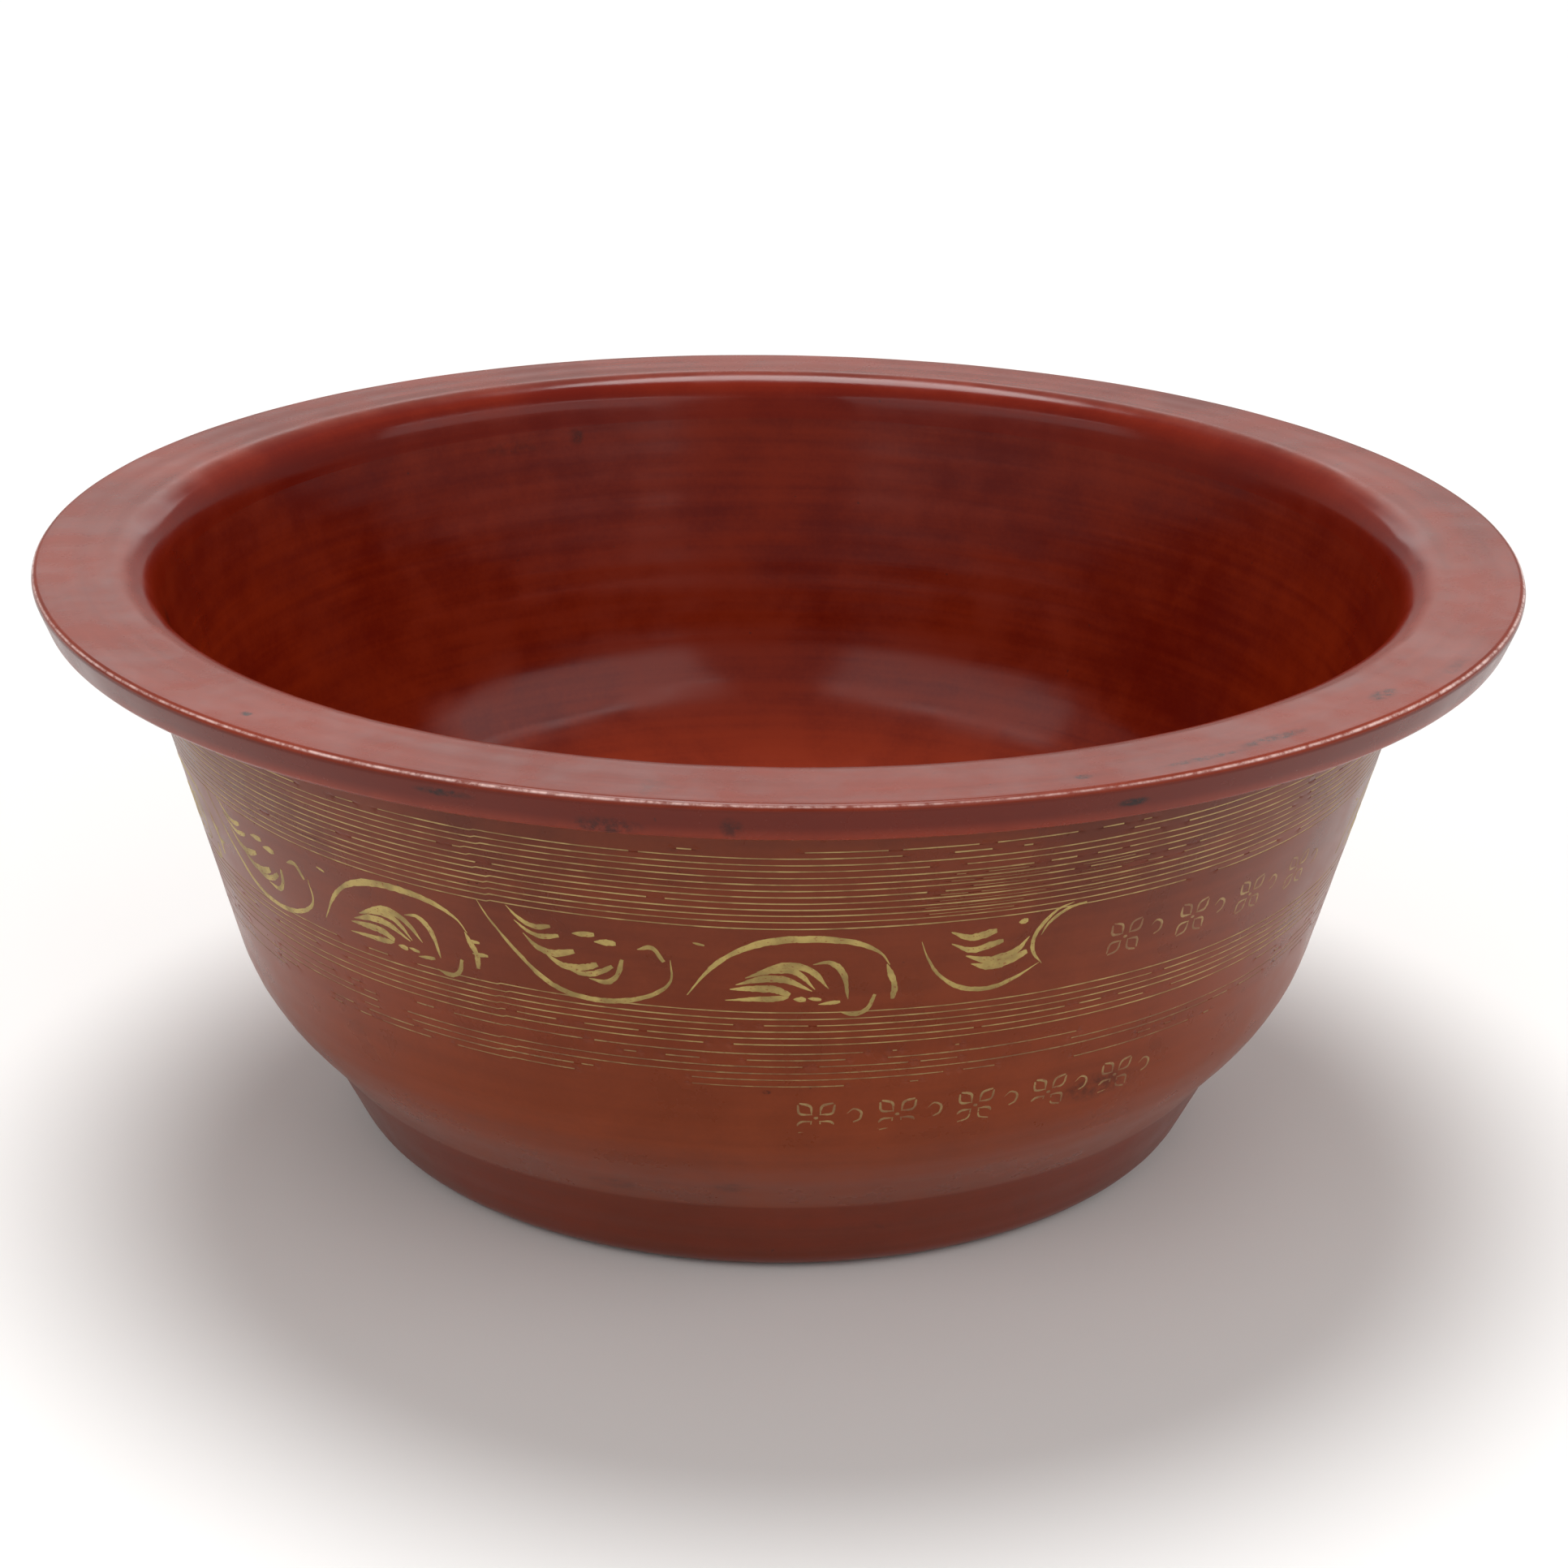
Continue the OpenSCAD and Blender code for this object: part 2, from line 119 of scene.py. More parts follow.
def rounded(before, corner, after):
    """Points of the arc that rounds a corner between its neighbours."""
    b = np.array(corner[:2])
    radius = corner[2]
    if radius == 0:
        return [b]
    u = np.array(before[:2]) - b
    v = np.array(after[:2]) - b
    u, v = u / np.linalg.norm(u), v / np.linalg.norm(v)
    half = math.acos(float(u @ v)) / 2
    centre = b + (u + v) / np.linalg.norm(u + v) * radius / math.sin(half)
    first = b + u * radius / math.tan(half) - centre
    last = b + v * radius / math.tan(half) - centre
    start = math.atan2(first[1], first[0])
    sweep = (math.atan2(last[1], last[0]) - start + 3 * math.pi) % (2 * math.pi) - math.pi
    steps = max(4, math.ceil(abs(sweep) / math.radians(4)))
    turns = start + sweep * np.linspace(0, 1, steps + 1)
    return [centre + radius * np.array([math.cos(t), math.sin(t)]) for t in turns]


def outline():
    """The cross-section's surface, from the middle of the floor to the middle of the underside."""
    corners = section_corners()
    points = []
    for i, corner in enumerate(corners):
        points += rounded(corners[i - 1], corner, corners[(i + 1) % len(corners)])
    return np.array(points)


class Path:
    """A line in the cross-section that is read by its length."""

    def __init__(self, points):
        self.points = points
        steps = np.linalg.norm(np.diff(points, axis=0), axis=1)
        self.at = np.concatenate([[0], np.cumsum(steps)])

    def where_height(self, h, crossing):
        """Length along the path at which it passes height h for the n-th time."""
        z = self.points[:, 1] - h
        found = [i for i in range(len(z) - 1) if z[i] * z[i + 1] <= 0 and z[i] != z[i + 1]]
        i = found[crossing]
        return self.at[i] + (self.at[i + 1] - self.at[i]) * z[i] / (z[i] - z[i + 1])

    def part(self, start, end, step):
        """Points from start to end, every corner of the path kept, none further apart than step."""
        inner = self.at[(self.at > start + 1e-6) & (self.at < end - 1e-6)]
        stops = np.concatenate([[start], inner, [end]])
        lengths = []
        for a, b in zip(stops[:-1], stops[1:]):
            pieces = max(1, math.ceil((b - a) / step))
            lengths += list(a + (b - a) * np.arange(pieces) / pieces)
        lengths.append(end)
        return self.read(np.array(lengths))

    def read(self, lengths):
        r = np.interp(lengths, self.at, self.points[:, 0])
        h = np.interp(lengths, self.at, self.points[:, 1])
        return np.stack([r, h], axis=1)


def outward(points):
    """Unit normals of a line of the section, pointing out of the material."""
    along = np.gradient(points, axis=0)
    along /= np.linalg.norm(along, axis=1)[:, None]
    return np.stack([-along[:, 1], along[:, 0]], axis=1)


# ---------------------------------------------------------------- hand-made unevenness

COLUMNS = 960
AZ = -180 + 360 * np.arange(COLUMNS) / COLUMNS


def ripple(terms, fastest, waves_per_metre, seed):
    """A smooth random height field over angle and distance, of about unit size."""
    r = np.random.default_rng(seed)
    turns = r.integers(0, fastest + 1, terms)
    waves = r.uniform(-waves_per_metre, waves_per_metre, terms)
    phases = r.uniform(0, 2 * math.pi, terms)
    sizes = r.uniform(0.4, 1.0, terms) / math.sqrt(terms)

    def height(az, s):
        total = 0
        for n, w, p, a in zip(turns, waves, phases, sizes):
            total = total + a * np.cos(n * np.radians(az) + 2 * math.pi * w * s + p)
        return total * 1.6
    return height


SWELL = ripple(14, 7, 14, 11)
RINGS = ripple(18, 2, 160, 12)
DIMPLES = ripple(26, 46, 60, 13)


def hand_turned(az, s):
    """Height of the lacquer above the true section: long swells, turning marks and dimples."""
    return (0.07 * SWELL(az, s) + 0.018 * RINGS(az, s) + 0.012 * DIMPLES(az, s)) * MM


# ---------------------------------------------------------------- meshes

def make_object(name, vertices, faces, uvs=None, sharp=35):
    """A smooth-shaded object whose edges stay sharp where the faces turn by more than sharp degrees."""
    mesh = bpy.data.meshes.new(name)
    mesh.from_pydata([tuple(v) for v in vertices], [], [tuple(f) for f in faces])
    if uvs is not None:
        layer = mesh.uv_layers.new(name="UVMap")
        loops = np.empty(len(mesh.loops), int)
        mesh.loops.foreach_get("vertex_index", loops)
        layer.data.foreach_set("uv", np.asarray(uvs, float)[loops].ravel())
    mesh.validate()
    mesh.polygons.foreach_set("use_smooth", [True] * len(mesh.polygons))
    mesh.set_sharp_from_angle(angle=math.radians(sharp))
    obj = bpy.data.objects.new(name, mesh)
    bpy.context.scene.collection.objects.link(obj)
    return obj


def spun_points(r, h):
    """Points in space for grids of radius and height, one column for each angle."""
    a = np.radians(AZ)[None, :]
    return np.stack([r * np.sin(a), -r * np.cos(a), h + 0 * a], axis=-1)


def spun_faces(rows, wrap):
    """Quads between rows of a spun grid, wound to face outwards."""
    j = np.arange(COLUMNS)
    nxt = (j + 1) % COLUMNS
    faces = []
    for i in range(rows if wrap else rows - 1):
        a, b = i * COLUMNS, ((i + 1) % rows) * COLUMNS
        faces.append(np.stack([a + j, a + nxt, b + nxt, b + j], axis=1))
    return np.concatenate(faces)


def skin(name, start, end, step, fade=None):
    """A closed red coat over the section from start to end, its outer face uneven. fade(s) tames that."""
    points = section.part(start, end, step)
    normals = outward(points)
    s = start + np.concatenate([[0], np.cumsum(np.linalg.norm(np.diff(points, axis=0), axis=1))])[:, None]
    lift = hand_turned(AZ[None, :], s) * (fade(s) if fade else 1)
    under = points - normals * RED_T
    r = np.concatenate([points[:, :1] + normals[:, :1] * lift, under[::-1, :1] + 0 * lift])
    h = np.concatenate([points[:, 1:] + normals[:, 1:] * lift, under[::-1, 1:] + 0 * lift])
    grid = spun_points(r, h)
    if points[0, 0] > 1e-6:
        return make_object(name, grid.reshape(-1, 3), spun_faces(len(r), True))
    return capped(name, grid)


def capped(name, grid):
    """A coat whose first and last rows lie on the axis, where one point stands for each of them."""
    kept = grid[1:-1]
    poles = [[0, 0, grid[i, :, 2].mean()] for i in (0, -1)]
    vertices = np.concatenate([kept.reshape(-1, 3), poles])
    faces = [tuple(f) for f in spun_faces(len(kept), False)]
    first, last = len(vertices) - 2, len(vertices) - 1
    end = (len(kept) - 1) * COLUMNS
    for j in range(COLUMNS):
        k = (j + 1) % COLUMNS
        faces.append((first, k, j))
        faces.append((last, end + j, end + k))
    return make_object(name, vertices, faces)


# ---------------------------------------------------------------- materials

def srgb(r, g, b):
    """A colour from its 0-255 display values, as the linear values that shaders take."""
    def linear(c):
        c /= 255
        return c / 12.92 if c <= 0.04045 else ((c + 0.055) / 1.055) ** 2.4
    return (linear(r), linear(g), linear(b), 1)


class Material:
    """A node material with a Principled shader and short names for the nodes used here."""

    def __init__(self, name):
        self.mat = bpy.data.materials.new(name)
        self.mat.use_nodes = True
        self.tree = self.mat.node_tree
        self.shader = self.tree.nodes["Principled BSDF"]
        self.place = self.add("ShaderNodeTexCoord").outputs["Object"]

    def add(self, kind, inputs=None, **settings):
        node = self.tree.nodes.new(kind)
        for key, value in settings.items():
            setattr(node, key, value)
        for key, value in (inputs or {}).items():
            self.put(node.inputs[key], value)
        return node

    def put(self, socket, value):
        if isinstance(value, bpy.types.NodeSocket):
            self.tree.links.new(value, socket)
        else:
            socket.default_value = value

    def set(self, **values):
        for key, value in values.items():
            self.put(self.shader.inputs[key.replace("_", " ")], value)

    def math(self, operation, a, b=0.0, c=0.0, clamp=False):
        node = self.add("ShaderNodeMath", {0: a, 1: b, 2: c}, operation=operation, use_clamp=clamp)
        return node.outputs[0]

    def noise(self, where, scale, detail=4.0, roughness=0.55, distortion=0.0):
        node = self.add("ShaderNodeTexNoise", {
            "Vector": where, "Scale": scale, "Detail": detail,
            "Roughness": roughness, "Distortion": distortion})
        return node.outputs["Fac"]

    def total(self, *terms):
        """Sum of values, each with its share."""
        result = 0.0
        for value, share in terms:
            result = self.math("MULTIPLY_ADD", value, share, result)
        return result

    def spot(self, az, r, h, along, across, up, strength):
        """A soft mark at an angle, radius and height, with its sizes round the bowl, across and upwards."""
        a = math.radians(az)
        centre = (r * MM * math.sin(a), -r * MM * math.cos(a), h * MM)
        away = self.add("ShaderNodeVectorMath", {0: self.place, 1: centre}, operation="SUBTRACT")
        away = away.outputs[0]
        turned = self.add("ShaderNodeVectorRotate", {"Vector": away, "Angle": -a}, rotation_type="Z_AXIS")
        turned = turned.outputs[0]
        sizes = (1000 / along, 1000 / across, 1000 / up)
        scaled = self.add("ShaderNodeVectorMath", {0: turned, 1: sizes}, operation="MULTIPLY").outputs[0]
        far = self.add("ShaderNodeVectorMath", {0: scaled}, operation="LENGTH").outputs["Value"]
        return self.math("MULTIPLY", self.between(far, 1.0, 0.4), strength)

    def from_axis(self):
        """Distance from the bowl's axis."""
        flat = self.add("ShaderNodeVectorMath", {0: self.place, 1: (1, 1, 0)}, operation="MULTIPLY")
        return self.add("ShaderNodeVectorMath", {0: flat.outputs[0]}, operation="LENGTH").outputs["Value"]

    def height(self):
        """Height above the surface that the bowl stands on."""
        return self.add("ShaderNodeSeparateXYZ", {0: self.place}).outputs["Z"]

    def painted_rim_side_shade(self):
        """1 over the upper half of the rim's side, which is painted darker than its top as painted shade, 0
        away from it.
        """
        height = self.height()
        below = self.between(height, HEIGHT - 0.9 * MM, HEIGHT - 1.6 * MM)
        return self.math("MULTIPLY", below, self.between(height, HEIGHT - 8.5 * MM, HEIGHT - 5.0 * MM))

    def painted_edge_highlight(self, ragged):
        """1 along the rim's top outer edge, where a painted highlight lies, 0 away from it."""
        out = self.between(self.from_axis(), RIM_R - 0.85 * MM, RIM_R - 0.4 * MM)
        up = self.between(self.height(), HEIGHT - 0.85 * MM, HEIGHT - 0.4 * MM)
        highlight_share = self.math("MULTIPLY_ADD", ragged, 0.7, 0.1)
        return self.math("MULTIPLY", self.math("MULTIPLY", out, up), highlight_share)

    def between(self, value, low, high):
        """0 where value is at low, 1 where it is at high, smooth between them."""
        node = self.add("ShaderNodeMapRange", {
            "Value": value, "From Min": low, "From Max": high}, interpolation_type="SMOOTHSTEP")
        return node.outputs["Result"]

    def mix(self, share, a, b):
        node = self.add("ShaderNodeMix", data_type="RGBA")
        self.put(node.inputs["Factor"], share)
        self.put(node.inputs[6], a)
        self.put(node.inputs[7], b)
        return node.outputs[2]

    def round_the_bowl(self, across, along):
        """Coordinates that run slowly round the axis and fast up it, for turned and rubbed streaks."""
        xyz = self.add("ShaderNodeSeparateXYZ", {0: self.place})
        x, y, z = xyz.outputs
        r = self.math("SQRT", self.math("ADD", self.math("MULTIPLY", x, x), self.math("MULTIPLY", y, y)))
        r = self.math("MAXIMUM", r, 0.001)
        side = self.math("MULTIPLY", self.math("DIVIDE", x, r), across)
        front = self.math("MULTIPLY", self.math("DIVIDE", y, r), across)
        up = self.math("MULTIPLY", self.math("ADD", z, self.math("MULTIPLY", r, 0.9)), along)
        return self.add("ShaderNodeCombineXYZ", {0: side, 1: front, 2: up}).outputs[0]

    def bump(self, height, strength, distance):
        node = self.add("ShaderNodeBump", {"Height": height, "Strength": strength, "Distance": distance})
        return node.outputs["Normal"]


def red_lacquer(name, deep, bright, wear=0.3, roughness=(0.2, 0.3), uneven=0.4, gloss=0.2, spots=(),
                fade=None, side=None, edge_highlight=None, inner=None):
    """Hand-rubbed red lacquer: softly mottled, faintly streaked round the bowl, worn dark in places.

    Each spot is (angle, radius, height, half length, half width, half height, strength) in mm and degrees.
    Between the two heights of fade the coat goes from brighter to deeper upwards, as painted shade: the wall
    deepens under the rim's overhang and the inside is brighter on its floor.
    The upper half of the rim's side carries painted shade in the darker colour of side, and its top outer
    edge a painted highlight in the paler colour given for it; its inner lip runs into the two colours of
    inner.
    """
    dark = srgb(52, 28, 24)
    chipped = srgb(30, 17, 15)
    lip_smoother = -0.07
    m = Material(name)
    cloud = m.noise(m.place, 13, 4, 0.55, 0.4)
    mottle = m.noise(m.place, 60, 5, 0.6, 0.2)
    grain = m.noise(m.place, 900, 2, 0.5)
    streaks = m.noise(m.round_the_bowl(1.6, 260), 1.0, 3, 0.55)
    tone = m.total((cloud, 0.42), (mottle, 0.28), (streaks, 0.22), (grain, 0.08))
    share = m.between(tone, 0.38, 0.62)
    # painted shade: brighter low down, deeper higher up
    if fade:
        share = m.total((share, 0.45), (m.between(m.height(), fade[1], fade[0]), 0.55))
    colour = m.mix(share, deep, bright)
    # painted shade: the upper half of the rim's side is darkened towards the colour of side
    if side:
        colour = m.mix(m.math("MULTIPLY", m.painted_rim_side_shade(), 0.85), colour, side)
    if inner:
        lip = m.between(m.from_axis(), LIP_OUT_R, LIP_IN_R)
        colour = m.mix(lip, colour, m.mix(share, *inner))
    patches = m.between(m.noise(m.place, 26, 8, 0.72, 0.8), 0.63 - 0.06 * wear, 0.80 - 0.06 * wear)
    colour = m.mix(m.math("MULTIPLY", patches, min(1.0, 0.2 + wear)), colour, dark)
    specks = m.between(m.noise(m.place, 380, 2, 0.5), 0.76, 0.80)
    colour = m.mix(m.math("MULTIPLY", specks, 0.55), colour, dark)
    ragged = m.between(m.noise(m.place, 420, 6, 0.75), 0.34, 0.62)
    for spot in spots:
        colour = m.mix(m.math("MULTIPLY", m.spot(*spot), ragged), colour, chipped)
    # painted highlight: a pale line along the rim's top outer edge
    if edge_highlight:
        colour = m.mix(m.painted_edge_highlight(ragged), colour, edge_highlight)
    rough = m.total((m.between(mottle, 0.3, 0.7), roughness[1] - roughness[0]), (1.0, roughness[0]))
    if inner:
        rough = m.math("MULTIPLY_ADD", lip, lip_smoother, rough)
    m.set(Base_Color=colour, Roughness=rough, IOR=1.5, Specular_IOR_Level=gloss)
    swells = m.total((m.noise(m.place, 24, 2, 0.4), uneven), (streaks, 0.06 * uneven))
    m.set(Normal=m.bump(swells, 1.0, 0.0012))
    return m


def gold_filling(name, light, shade, under, cover):
    """Yellow-gold pigment rubbed into scratches: streaked along the stroke, with lacquer showing through."""
    m = Material(name)
    uv = m.add("ShaderNodeTexCoord").outputs["UV"]
    along = m.add("ShaderNodeMapping", {"Vector": uv, "Scale": (1.1, 9.0, 1.0)}).outputs[0]
    hatch = m.noise(along, 1.0, 4, 0.65)
    grain = m.noise(m.place, 1500, 3, 0.6)
    colour = m.mix(m.between(m.noise(m.place, 160, 3), 0.35, 0.65), shade, light)
    gaps = m.math("ADD", m.math("MULTIPLY", hatch, 0.7), m.math("MULTIPLY", grain, 0.3))
    colour = m.mix(m.between(gaps, cover, cover + 0.10), colour, under)
    m.set(Base_Color=colour, Roughness=m.math("ADD", m.math("MULTIPLY", grain, 0.3), 0.38))
    m.set(IOR=1.5, Metallic=0.25)
    m.set(Normal=m.bump(hatch, 0.25, 0.0001))
    return m.mat


def black_lacquer(name):
    m = Material(name)
    cloud = m.noise(m.place, 30, 5, 0.6)
    rings = m.noise(m.round_the_bowl(1.5, 500), 1.0, 3, 0.6)
    dust = m.between(m.noise(m.place, 240, 4, 0.7), 0.58, 0.78)
    colour = m.mix(m.between(cloud, 0.4, 0.65), srgb(26, 19, 17), srgb(45, 30, 25))
    colour = m.mix(m.math("MULTIPLY", dust, 0.35), colour, srgb(96, 78, 66))
    m.set(Base_Color=colour, Roughness=m.math("ADD", m.math("MULTIPLY", cloud, 0.25), 0.26))
    m.set(IOR=1.5, Normal=m.bump(rings, 0.15, 0.0004))
    return m.mat


def bamboo(name):
    m = Material(name)
    fibres = m.noise(m.round_the_bowl(3.0, 2600), 1.0, 4, 0.6)
    bands = m.noise(m.place, 26, 3, 0.5)
    colour = m.mix(m.between(fibres, 0.35, 0.66), srgb(164, 132, 82), srgb(214, 186, 130))
    colour = m.mix(m.math("MULTIPLY", m.between(bands, 0.5, 0.75), 0.4), colour, srgb(128, 96, 56))
    m.set(Base_Color=colour, Roughness=m.math("ADD", m.math("MULTIPLY", fibres, 0.2), 0.48))
    m.set(Normal=m.bump(fibres, 0.4, 0.0003))
    return m.mat


def ash_putty(name):
    m = Material(name)
    grains = m.noise(m.place, 900, 5, 0.75)
    cloud = m.noise(m.place, 45, 4, 0.6)
    colour = m.mix(m.between(grains, 0.35, 0.7), srgb(58, 50, 44), srgb(104, 94, 82))
    colour = m.mix(m.math("MULTIPLY", cloud, 0.4), colour, srgb(44, 38, 34))
    m.set(Base_Color=colour, Roughness=m.math("ADD", m.math("MULTIPLY", grains, 0.2), 0.72))
    m.set(Normal=m.bump(grains, 0.5, 0.0003))
    return m.mat


def pale_paper(name):
    m = Material(name)
    cloud = m.noise(m.place, 3, 3, 0.5)
    m.set(Base_Color=m.mix(cloud, srgb(236, 235, 233), srgb(242, 241, 240)), Roughness=0.7)
    return m.mat


def paint(obj, material):
    obj.data.materials.clear()
    obj.data.materials.append(material)


def finish_piece(obj, material, slot, *nodes):
    """Gives a new piece its material and its body, and hides the CAD nodes that it stands for; slot is not
    used.
    """
    paint(obj, material)
    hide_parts(*nodes)
    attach(obj, "root")


# Deeper and brighter colour of the red coat, and the heights between which painted shade deepens it upwards
LIP_REDS = (srgb(108, 21, 6), srgb(126, 32, 9))
INSIDE_REDS = (srgb(100, 18, 5), srgb(156, 50, 13))
INSIDE_SHADE_HEIGHTS = (30 * MM, 62 * MM)
WALL_REDS = (srgb(92, 36, 14), srgb(132, 58, 28))
WALL_SHADE_HEIGHTS = (45 * MM, 118 * MM)
RIM_REDS = (srgb(110, 37, 20), srgb(134, 49, 28))
FOOT_REDS = (srgb(106, 40, 17), srgb(120, 46, 23))

# ---------------------------------------------------------------- engraved lines

# Bands as (height of the top line, lines, pitch, wear of its first, its second and its other lines)
LINE_BANDS = {
    "upper_lines": (122.1 * MM, 13, 1.57 * MM, (0.60, 0.34, 0.03)),
    "middle_lines": (82.0 * MM, 6, 1.70 * MM, (0.10, 0.05, 0.05)),
    "lower_lines": (71.2 * MM, 6, 1.75 * MM, (0.50, 0.42, 0.36)),
}
LINE_W = 0.31 * MM
LINE_SHOULDER = 0.05 * MM
LINE_DEPTH = 0.16 * MM
FILL_DEPTH = 0.035 * MM
FILL_BELOW = 0.06 * MM
LINE_CLEARANCE = 0.6 * MM
HATCH_PER_COLUMN = 0.36

# Where each line's end meets its start, a little higher, and how far round the step dies out
JOINT_AZ = -24.5
JOINT_STEP = 0.28 * MM
JOINT_DROP = -0.05 * MM
JOINT_FADE = 25


def smooth_cells(cells, generator):
    """Random values round the bowl, one for each of a number of cells, blended between them."""
    values = generator.random(cells)
    x = (AZ + 180) / 360 * cells
    i = x.astype(int) % cells
    t = x - np.floor(x)
    t = t * t * (3 - 2 * t)
    return values[i] * (1 - t) + values[(i + 1) % cells] * t


class Line:
    """One engraved line: where it runs, and where its filling is still there."""

    def __init__(self, h, wear, generator):
        self.h = h
        own = smooth_cells(24, generator) - 0.5
        self.waver = (0.34 * shared_waver + 0.16 * own) * MM
        step_az = JOINT_AZ + generator.uniform(-1.0, 1.0)
        step = np.where(AZ > step_az, JOINT_STEP, JOINT_DROP)
        self.waver = self.waver + step * np.exp(-np.maximum(AZ - step_az, 0) / JOINT_FADE)
        density = 0.62 * smooth_cells(30, generator) + 0.38 * smooth_cells(200, generator)
        level = np.quantile(density, wear)
        self.present = density > level
        self.width = LINE_W * (0.70 + 0.45 * smooth_cells(90, generator))


line_rng = np.random.default_rng(21)
shared_waver = smooth_cells(26, line_rng) - 0.5


def band_lines(band):
    top, count, pitch, wear = LINE_BANDS[band]
    lines = []
    for i in range(count):
        share = wear[min(i, 2)] * line_rng.uniform(0.6, 1.2)
        lines.append(Line(top - i * pitch, min(share, 0.8), line_rng))
    return lines


# Short lines cut between the upper ones, as (first line, last line, from angle, to angle)
DOUBLED_PATCHES = [(4, 10, 12.6, 21.0), (5, 9, 25.6, 30.6)]


def doubled_lines():
    top, pitch = LINE_BANDS["upper_lines"][0], LINE_BANDS["upper_lines"][2]
    lines = []
    for first_line, last_line, first_az, last_az in DOUBLED_PATCHES:
        for i in range(first_line, last_line + 1):
            line = Line(top - (i + 0.5) * pitch, 0.2, line_rng)
            line.width = 0.5 * line.width
            first = first_az + line_rng.uniform(-1.0, 1.0)
            last = last_az + line_rng.uniform(-1.5, 1.5)
            line.present &= (AZ > first) & (AZ < last)
            lines.append(line)
    return lines


engraved = {band: band_lines(band) for band in LINE_BANDS}
engraved["upper_lines"] += doubled_lines()


def wall_rows():
    """Rows along the grooves of the wall's face, as (height, line, side, 1 in the groove or 0 beside it)."""
    shoulder = 1.0 + 2 * LINE_SHOULDER / LINE_W
    rows = []
    for lines in engraved.values():
        for line in lines:
            for side, depth in ((shoulder, 0), (1.0, 1), (-1.0, 1), (-shoulder, 0)):
                rows.append((line.h, line, side, depth))
    return rows


def make_wall(path, start, end):
    """The wall's red coat, with a groove wherever an engraved line is still there."""
    base = path.part(start, end, 2.5 * MM)
    plain = [(r, h, None, 0, 0) for r, h in base]
    all_lines = [line for lines in engraved.values() for line in lines]
    plain = [p for p in plain if all(abs(p[1] - line.h) > LINE_CLEARANCE for line in all_lines)]
    rows = plain + [(wall_r(h), h, line, side, depth) for h, line, side, depth in wall_rows()]
    rows.sort(key=lambda row: -(row[1] + (row[3] * LINE_W / 2 if row[2] else 0)))
    points = np.array([[wall_r(h + side * LINE_W / 2) if line else r, h + side * LINE_W / 2]
                       for r, h, line, side, depth in rows])
    normals = outward(points)
    s = start + np.concatenate([[0], np.cumsum(np.linalg.norm(np.diff(points, axis=0), axis=1))])
    rise = hand_turned(AZ[None, :], s[:, None])
    up = np.zeros_like(rise)
    for i, (r, h, line, side, depth) in enumerate(rows):
        if line is None:
            continue
        up[i] = line.waver + side * (line.width - LINE_W) / 2
        groove = soften(line.present.astype(float))
        rise[i] = rise[i] - depth * LINE_DEPTH * groove
    r = points[:, :1] + normals[:, :1] * rise + up * tan(WALL_LEAN)
    h = points[:, 1:] + normals[:, 1:] * rise + up
    smooth = [i for i, row in enumerate(rows) if row[2] is None]
    under = (points - normals * RED_T)[smooth][::-1]
    r = np.concatenate([r, under[:, :1] + 0 * rise[:1]])
    h = np.concatenate([h, under[:, 1:] + 0 * rise[:1]])
    return make_object("lacquer_wall", spun_points(r, h).reshape(-1, 3), spun_faces(len(r), True), sharp=40)


def soften(values):
    """Values round the bowl with each step spread over the columns beside it."""
    return (np.roll(values, 1) + 2 * values + np.roll(values, -1)) / 4


def runs(present):
    """Stretches of columns where something is present, as lists of column numbers."""
    if present.all():
        return [list(range(COLUMNS)) + [0]]
    start = int(np.argmin(present))
    found, current = [], []
    for k in range(COLUMNS + 1):
        j = (start + k) % COLUMNS
        if present[j] and k < COLUMNS:
            current.append(j)
        elif current:
            found.append(current)
            current = []
    return [run for run in found if len(run) > 1]


def strip(vertices, faces, uvs, columns, rings):
    """Adds a closed bar whose cross-section is given at each of its columns."""
    base = len(vertices)
    sides = len(rings[0])
    for k, ring in enumerate(rings):
        vertices.extend(ring)
        uvs.extend([(columns[k], i / (sides - 1)) for i in range(sides)])
    for k in range(len(rings) - 1):
        for i in range(sides):
            a, b = base + k * sides + i, base + k * sides + (i + 1) % sides
            faces.append((a, b, b + sides, a + sides))
    end = base + (len(rings) - 1) * sides
    faces.append(tuple(base + i for i in reversed(range(sides))))
    faces.append(tuple(end + i for i in range(sides)))


def on_wall(az, h, depth):
    """A point at an angle and height, at a depth below the wall's face."""
    lean = math.radians(WALL_LEAN)
    r = wall_r(h) - depth * math.cos(lean)
    z = h + depth * math.sin(lean)
    a = math.radians(az)
    return (r * math.sin(a), -r * math.cos(a), z)


def make_lines(name, lines):
    """The gold filling of one band, lying just below the mouths of its grooves."""
    vertices, faces, uvs = [], [], []
    s0 = section.where_height(SPLIT_H, 1)
    for line in lines:
        s = s0 + (SPLIT_H - line.h) / math.cos(math.radians(WALL_LEAN))
        skin_rise = hand_turned(AZ, s)
        for run in runs(line.present):
            rings = []
            for j in run:
                h, half = line.h + line.waver[j], line.width[j] / 2
                top = FILL_DEPTH - skin_rise[j]
                low = LINE_DEPTH + FILL_BELOW
                rings.append([on_wall(AZ[j], h + half, top), on_wall(AZ[j], h - half, top),
                              on_wall(AZ[j], h - half, low), on_wall(AZ[j], h + half, low)])
            strip(vertices, faces, uvs, [j * HATCH_PER_COLUMN for j in run], rings)
    return make_object(name, vertices, faces, uvs, sharp=50)


# ---------------------------------------------------------------- engraved scrolls and flowers

